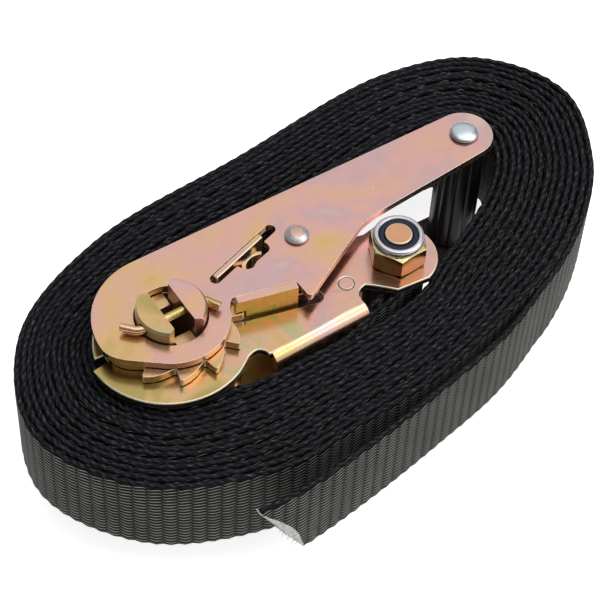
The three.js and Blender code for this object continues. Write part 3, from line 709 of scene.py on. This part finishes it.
def strip_mesh(name, path, heights=None, slant=0.0):
    """A closed strip of webbing, its width upright, with ribs that scallop its edges."""
    total = lengths_along(path)[-1]
    count = int(total / SAMPLE)
    base = np.arange(count + 1) * total / count
    fade = np.clip(1 - base / SLANT_FADE, 0, 1) if slant else np.zeros(count + 1)
    points = np.empty((count + 1, len(SECTION), 3))
    alongs = np.empty((count + 1, len(SECTION)))
    lift = np.zeros(count + 1) if heights is None else heights(base)
    for k, (side, inset, edge, _) in enumerate(SECTION):
        z = edge * (HALF_WIDTH - inset)
        where = base + slant * fade * (HALF_WIDTH - z) / (2 * HALF_WIDTH)
        spot = at_lengths(path, where)
        ahead = at_lengths(path, where + AHEAD) - at_lengths(path, where - AHEAD)
        ahead /= np.linalg.norm(ahead, axis=1)[:, None]
        inward = np.stack([-ahead[:, 1], ahead[:, 0]], axis=1)
        phase = 2 * math.pi * where / RIB + math.pi
        near_edge = inset < EDGE_INSET
        ply = PLY / 2 * (1 + (RIB_AT_EDGE if near_edge else RIB_ON_FACE) * np.cos(phase))
        sway = EDGE_SWAY * np.sin(phase + edge * 0.6) if near_edge else 0.0
        swell = edge * EDGE_SCALLOP * np.cos(phase + side * 0.9) if near_edge else 0.0
        points[:, k, :2] = spot + inward * (side * ply + sway)[:, None]
        points[:, k, 2] = z + swell + lift
        alongs[:, k] = where
    rings, around = points.shape[:2]
    grid = np.arange(rings * around).reshape(rings, around)
    a, b = grid[:-1], grid[1:]
    quads = np.stack([a, np.roll(a, -1, 1), np.roll(b, -1, 1), b], axis=-1).reshape(-1, 4)
    world = np.array([*AXIS])[None] + points.reshape(-1, 3) * MM
    faces = [tuple(quad) for quad in quads.tolist()]
    faces += [tuple(grid[0][::-1].tolist()), tuple(grid[-1].tolist())]
    mesh = bpy.data.meshes.new(name)
    mesh.from_pydata(world.tolist(), [], faces)
    mesh = cleaned(mesh)
    layer = mesh.uv_layers.new(name="webbing")
    corner = np.empty(len(mesh.loops), int)
    mesh.loops.foreach_get("vertex_index", corner)
    column = corner % around
    girth = np.array([entry[3] for entry in SECTION])[column]
    last_column = np.zeros(len(corner), bool)
    last_column[: 4 * len(quads)] = np.repeat(np.arange(len(quads)) % around == around - 1, 4)
    girth[last_column & (column == 0)] += 2 * HALF_GIRTH
    flat = np.stack([alongs.reshape(-1)[corner], girth], axis=1)
    layer.data.foreach_set("uv", flat.ravel().astype(np.float32))
    return mesh, total


path = coil_path()


def coil_heights(where):
    """Each turn sits a little higher or lower than the next, and the outermost sags at the front."""
    wander = sum(swing * np.sin(where / wave + start_at) for swing, wave, start_at in WANDER)
    ease = np.clip(1.25 - where / FIRST_TURN, 0, 1)
    spot = at_lengths(path, where)
    right_front = np.exp(-((spot[:, 0] - SAG_X) ** 2) / SAG_WIDTH ** 2) * (spot[:, 1] < 0)
    return wander - SAG * ease * right_front


coil_mesh, coil_length = strip_mesh("webbing_coil_strip", path, coil_heights, TAIL_SLANT)
coil = new_object("webbing_coil_strip", coil_mesh, webbing)
settle(coil, "frame", ["webbing_coil", "webbing_tail"])


def flattens_with_coil(piece):
    """Gives a piece its own copy of its mesh. Sinks a piece to the floor as the handle
    opens, so that the handle's end clears it.
    """
    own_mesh(piece)


flattens_with_coil(coil)


def loop_path():
    """The sewn loop's centreline: along one ply of the tab, round the bolt's sleeve, and back."""
    c, s = math.cos(RATCHET_TURN), math.sin(RATCHET_TURN)
    turn = np.array([[c, s], [-s, c]])
    arc = []
    for degrees in range(*LOOP_ARC):
        angle = math.radians(degrees)
        arc.append((BOLT[0] + SLEEVE_LOOP * math.cos(angle), BOLT[1] + SLEEVE_LOOP * math.sin(angle)))
    x, y = LOOP_TAB
    points = [(x, y - PLY / 2 - 0.05), (x + 5, y - PLY / 2 + 0.1)] + arc
    points += [(x + 5.2, y + PLY / 2 + 1.6), (x, y + PLY / 2 + 0.05)]
    return catmull(points, per_span=10) @ turn


loop_mesh, loop_length = strip_mesh("webbing_loop_strip", loop_path())
loop = new_object("webbing_loop_strip", loop_mesh, webbing)
settle(loop, "frame", ["webbing_loop"])


# ------------------------------------------------------------------ the webbing's cut end
CUT_STEPS = 40             # rings down the cut
CUT_ROUND = 14             # points in each ring
THREADS = 9
THREAD_RADIUS = 0.04
THREAD_SIDES = 5
THREAD_REACH = (0.5, 1.5)  # how far a thread stands out


def cut_face_mesh():
    """The pale melted face of the diagonal cut: it slopes back over the strip's outer side."""
    points = []
    start = at_lengths(path, np.array([0.0, 1.0]))
    back = (start[0] - start[1]) / np.linalg.norm(start[0] - start[1])
    outward = np.array([-back[1], back[0]])
    for step in range(CUT_STEPS + 1):
        share = step / CUT_STEPS
        z = HALF_WIDTH - 2 * HALF_WIDTH * share
        spot = at_lengths(path, np.array([TAIL_SLANT * share]))[0]
        # the melted edge is widest and deepest at its middle, and closes at both corners
        swell = math.sin(math.pi * (0.02 + share * 0.95))
        reach = 0.12 + 1.45 * swell ** 1.3 + 0.1 * swell * rng.uniform(-1, 1)
        wide = PLY / 2 + 0.05 + 0.3 * swell + 0.04 * rng.uniform(-1, 1)
        for k in range(CUT_ROUND):
            angle = 2 * math.pi * k / CUT_ROUND
            ahead = 0.1 + 0.25 * swell - reach + reach * math.sin(angle) + 0.05 * rng.uniform(-1, 1)
            x, y = spot + outward * wide * math.cos(angle) + back * ahead
            points.append(row(x, y, z + coil_heights(np.array([0.0]))[0]))
    return cleaned(mesh_from("webbing_cut_face", points, bar_faces(CUT_STEPS + 1, CUT_ROUND)))


cut_face = new_object("webbing_cut_face", cut_face_mesh(), sealed)
settle(cut_face, "frame")
flattens_with_coil(cut_face)

threads = []
for _ in range(THREADS):
    share = rng.uniform(0.5, 0.85)
    x, y = at_lengths(path, np.array([TAIL_SLANT * share]))[0]
    z = HALF_WIDTH - 2 * HALF_WIDTH * share
    reach = rng.uniform(*THREAD_REACH)
    swing = rng.uniform(-0.6, 0.4)
    droop = rng.uniform(-0.9, 0.5)
    start = np.array([x + 0.2, y - rng.uniform(0, 0.9), z])
    mid = start + np.array([-reach * 0.6, swing * reach * 0.4, droop * reach * 0.3])
    tip = start + np.array([-reach, swing * reach, droop * reach])
    line = catmull([start, mid, tip], per_span=5)
    threads.append(tube("thread", line, THREAD_RADIUS, THREAD_SIDES))
joined = bmesh.new()
for mesh in threads:
    joined.from_mesh(mesh)
fray_mesh = bpy.data.meshes.new("webbing_frayed_threads")
joined.to_mesh(fray_mesh)
joined.free()
fray = new_object("webbing_frayed_threads", fray_mesh, webbing_thread)
settle(fray, "frame")
flattens_with_coil(fray)


# ------------------------------------------------------------------ pressed and turned steel
for node, body, material, width in [
    ("frame_channel", "frame", frame_steel, 0.35),
    ("handle_plate_upper", "handle", plate_steel, 0.4),
    ("handle_plate_lower", "handle", plate_steel, 0.4),
    ("ratchet_wheel_upper", "mandrel", wheel_steel, 0.4),
    ("ratchet_wheel_lower", "mandrel", wheel_steel, 0.4),
    ("mandrel_half_right", "mandrel", lilac_bar, 0.4),
    ("mandrel_half_left", "mandrel", gold_bar, 0.4),
    ("drive_pawl", "drive_pawl", plate_steel, 0.3),
    ("nyloc_nut", "frame", nut_steel, 0.15),
]:
    finished(node, material, body, width, 3, picked=node == "frame_channel")
finished("spring_stop_pin", frame_steel, "frame", 0.2, 3, grow=0.22)
finished("locking_pawl", pawl_steel, "locking_pawl", 0.3, 3)
for node, body in [("cross_spacer", "handle"), ("grip_core", "handle"), ("bolt_sleeve", "frame")]:
    finished(node, bright_zinc, body, 0.12)
_, bolt_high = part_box("anchor_bolt")
finished("anchor_bolt", nut_steel, "frame", 0.2, 3,
         accent=(copper_end, lambda face: face.center.z > bolt_high.z - 1.5 * MM))


def turned_both_ways(name, centre, half, material, body, node, accent=None):
    """A pin with a head at each end, from the outline of its upper half."""
    profile = [(radius, -height) for radius, height in half[::-1]] + half
    mesh = lathe(name, profile, centre)
    piece = new_object(name, mesh, material)
    if accent:
        add_accent(mesh, *accent)
    return settle(piece, body, [node])


SEAT = 20.9                # where the rivets' heads lie on the handle's plates
turned_both_ways("end_rivet_domed", ratchet(*END_RIVET), [
    (2.5, SEAT), (3.45, SEAT), (3.66, SEAT + 0.12), (3.72, SEAT + 0.4), (3.6, SEAT + 0.68),
    (3.25, SEAT + 0.92), (2.6, SEAT + 1.2), (1.9, SEAT + 1.42), (1.1, SEAT + 1.58),
    (0.4, SEAT + 1.65), (0, SEAT + 1.66),
], bright_zinc, "handle", "end_rivet")
turned_both_ways("cross_rivet_chamfered", ratchet(*CROSS_RIVET), [
    (2.0, SEAT), (2.9, SEAT), (3.02, SEAT + 0.08), (3.02, SEAT + 0.36), (2.92, SEAT + 0.52),
    (1.85, SEAT + 1.2), (1.7, SEAT + 1.28), (1.66, SEAT + 1.3), (0, SEAT + 1.3),
], rivet_zinc, "handle", "cross_rivet",
    accent=(rivet_top, lambda face: abs(face.center.z - AXIS.z) > (SEAT + 1.24) * MM))

# the lock nut's rolled collar and its nylon ring
_, nut_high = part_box("nyloc_nut")
NUT_TOP = (nut_high.z - AXIS.z) / MM
COLLAR_OUTLINE = [         # radius and height over the nut's top
    (4.92, -1.2), (4.92, -0.3), (5.02, -0.1), (5.25, 0.02), (5.6, 0.04), (5.95, -0.06),
    (6.2, -0.28), (6.34, -0.62), (6.36, -1.1), (6.34, -2.1), (6.1, -2.2), (5.8, -1.2),
]
NYLON_OUTLINE = [
    (3.6, -1.0), (3.6, -0.4), (3.72, -0.26), (4.2, -0.18), (4.7, -0.24), (4.88, -0.4),
    (4.88, -1.0),
]


def ring_on_nut(name, outline, material):
    """A turned ring at the top of the lock nut."""
    profile = [(radius, NUT_TOP + height) for radius, height in outline]
    return new_object(name, lathe(name, profile, ratchet(*BOLT), close=True), material)


collar = ring_on_nut("nut_collar", COLLAR_OUTLINE, collar_zinc)
settle(collar, "frame")
ring = ring_on_nut("nut_nylon_ring", NYLON_OUTLINE, nylon)
settle(ring, "frame", ["nylon_insert"])


# ------------------------------------------------------------------ split pins, springs and grip
PIN_TURN = -7              # degrees from the handle's axis to the pins'
PIN_HEIGHT = 22.2
PIN_ASIDE = -1.2
PIN_RADIUS = 1.08
LEAF_GAP = 0.05            # half the gap between a pin's two leaves


def from_axis(x, y, z):
    """A point in the handle's axes, as mm from the mandrel's middle along the row's axes."""
    return np.array(ratchet(x, y, z) - AXIS) / MM


def across_mandrel(along, aside, height):
    """A point beside a split pin's line, as from_axis gives it."""
    angle = math.radians(PIN_TURN)
    x = along * math.cos(angle) - aside * math.sin(angle)
    y = along * math.sin(angle) + aside * math.cos(angle)
    return from_axis(x, y, height)


def split_pin(label, side):
    """Two half-round wires, flat to flat, their ends bent aside by different amounts."""
    for leaf, longer in [(1, 0.0), (-1, 0.7)]:
        line = [
            (-12.7 + longer, 2.1 - longer), (-11.3, 0.6), (-9.8, -0.8), (-8.3, PIN_ASIDE),
            (0, PIN_ASIDE), (7.4, PIN_ASIDE), (8.7, -1.7), (9.6, -3.2),
            (10.7 - longer * 0.5, -4.9 + longer),
        ]
        wire = catmull([across_mandrel(*spot, side * PIN_HEIGHT) for spot in line], per_span=8)
        half_round = [
            (PIN_RADIUS * math.cos(bend), leaf * (PIN_RADIUS * math.sin(bend) + LEAF_GAP))
            for bend in np.linspace(0, math.pi, 9)]
        name = f"split_pin_{label}_{'top' if leaf > 0 else 'bottom'}"
        piece = new_object(name, sweep(name, wire, half_round), wheel_steel)
        round_edges(piece, 0.12, 2, 50)
        settle(piece, "mandrel", [f"cotter_pin_{label}"] if leaf > 0 else ())


split_pin("upper", 1)
split_pin("lower", -1)


def along_blade(turn, x, y, along, aside):
    """A point on a pawl's line, in mm in the handle's axes."""
    angle = math.radians(turn)
    c, s = math.cos(angle), math.sin(angle)
    start = x * c + y * s
    return (x + (along - start) * c - aside * s, y + (along - start) * s + aside * c)


DRIVE_PAWL = (11.2, 14.9, 2.1)       # a blade's turn from the handle's axis, and a point on it
LOCKING_PAWL = (-20.4, 14.2, -7)
WIND_STEPS = 24            # points in each turn of a spring
TORSION_TURNS = 6
TORSION_RADIUS = 4
TORSION_PITCH = 1.5
TORSION_LOW = -4.5
TORSION_START = 110        # degrees round the cross rivet
COMPRESSION_TURNS = 5
COMPRESSION_RADIUS = 2.4
COMPRESSION_FROM = 32.1    # where it starts along the locking pawl's line
COMPRESSION_LENGTH = 6.5

torsion = [from_axis(*along_blade(*DRIVE_PAWL, 33.1, 0), TORSION_LOW)]
for step in range(TORSION_TURNS * WIND_STEPS + 1):
    wound = step / WIND_STEPS
    angle = math.radians(TORSION_START - 360 * wound)
    x = CROSS_RIVET[0] + TORSION_RADIUS * math.cos(angle)
    y = CROSS_RIVET[1] + TORSION_RADIUS * math.sin(angle)
    torsion.append(from_axis(x, y, TORSION_LOW + TORSION_PITCH * wound))
torsion_mesh = tube("torsion_spring", torsion, 0.45)
torsion_spring = new_object("torsion_spring", torsion_mesh, spring_wire)
settle(torsion_spring, "handle", ["drive_pawl_spring"])

compression = []
for step in range(COMPRESSION_TURNS * WIND_STEPS + 1):
    wound = step / WIND_STEPS
    angle = 2 * math.pi * wound
    along = COMPRESSION_FROM + COMPRESSION_LENGTH * wound / COMPRESSION_TURNS
    x, y = along_blade(*LOCKING_PAWL, along, COMPRESSION_RADIUS * math.cos(angle))
    compression.append(from_axis(x, y, COMPRESSION_RADIUS * math.sin(angle)))
compression_mesh = tube("compression_spring", compression, 0.4)
compression_spring = new_object("compression_spring", compression_mesh, spring_wire)
settle(compression_spring, "frame", ["locking_pawl_spring"])


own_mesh(compression_spring)
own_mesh(torsion_spring)

GRIP_RADIUS = 6.1
GRIP_CORE = 4.3
GRIP_HALF = 18.3
GRIP_CHAMFER = 0.35
FLUTES = 10
FLUTE_DEPTH = 0.55
FLUTE_STEPS = 24           # points across each flute


def grip_mesh():
    """The fluted sleeve, open through its middle for the tube."""
    steps = FLUTES * FLUTE_STEPS
    centre = ratchet(*END_RIVET)
    points = []
    inside = [(GRIP_CORE, GRIP_HALF), (GRIP_CORE, -GRIP_HALF)]
    levels = [
        (-GRIP_HALF, -0.3), (-GRIP_HALF + GRIP_CHAMFER, 0),
        (GRIP_HALF - GRIP_CHAMFER, 0), (GRIP_HALF, -0.3),
    ]
    for step in range(steps):
        angle = 2 * math.pi * step / steps
        wave = abs(math.sin(angle * FLUTES / 2))
        radius = GRIP_RADIUS - FLUTE_DEPTH * (1 - wave) ** 2
        outside = [(radius + shrink, z) for z, shrink in levels]
        for r, z in outside + inside:
            turned = angle + RATCHET_TURN
            points.append(centre + Vector((r * math.cos(turned), r * math.sin(turned), z)) * MM)
    faces = turned_faces(steps, len(levels) + len(inside))
    return cleaned(mesh_from("fluted_grip", points, faces))


grip = new_object("fluted_grip", grip_mesh(), grip_black)
grip.modifiers.new("flat_faces", "WEIGHTED_NORMAL").keep_sharp = True
settle(grip, "handle", ["grip_sleeve"])


# ------------------------------------------------------------------ floor and light
def area_light(name, place, size, power, toward=(0, 0, 0.02)):
    data = bpy.data.lights.new(name, "AREA")
    data.shape = "RECTANGLE"
    data.size, data.size_y = size
    data.energy = power
    lamp = bpy.data.objects.new(name, data)
    bpy.context.scene.collection.objects.link(lamp)
    lamp.location = place
    lamp.rotation_euler = (Vector(toward) - Vector(place)).to_track_quat("-Z", "Y").to_euler()


FLOOR = 3.0                # metres, half the floor's side
FLOOR_GAP = 0.0005
FLOOR_GLOW = 0.8
WORLD_LIGHT = 0.22
SOFTBOXES = [              # name, place, size and power; each one faces the ratchet
    ("overhead_softbox", (0.50, 0.50, 0.95), (1.5, 1.5), 5.0),
    ("top_softbox", (-0.05, -0.06, 1.0), (0.7, 0.7), 2.2),
    ("right_softbox", (0.44, -0.40, 0.82), (0.8, 0.8), 2.9),
    ("front_softbox", (0.46, -0.74, 0.52), (0.9, 0.95), 2.4),
]

corners = [(-FLOOR, -FLOOR, 0), (FLOOR, -FLOOR, 0), (FLOOR, FLOOR, 0), (-FLOOR, FLOOR, 0)]
floor_mesh = mesh_from("floor", corners, [(0, 1, 2, 3)])
floor_look = Nodes("floor_white")
floor_look.set(Base_Color=(0.9, 0.9, 0.9, 1), Roughness=0.9, Specular_IOR_Level=0.1)
floor_look.set(Emission_Color=(1, 1, 1, 1), Emission_Strength=FLOOR_GLOW)
floor = new_object("floor", floor_mesh, floor_look.material)
floor.location.z = -FLOOR_GAP

bpy.context.scene.view_settings.view_transform = "Standard"
world = bpy.data.worlds.new("studio")
bpy.context.scene.world = world
world.use_nodes = True
background = world.node_tree.nodes["Background"]
background.inputs["Color"].default_value = (1, 1, 1, 1)
background.inputs["Strength"].default_value = WORLD_LIGHT
for softbox in SOFTBOXES:
    area_light(*softbox)
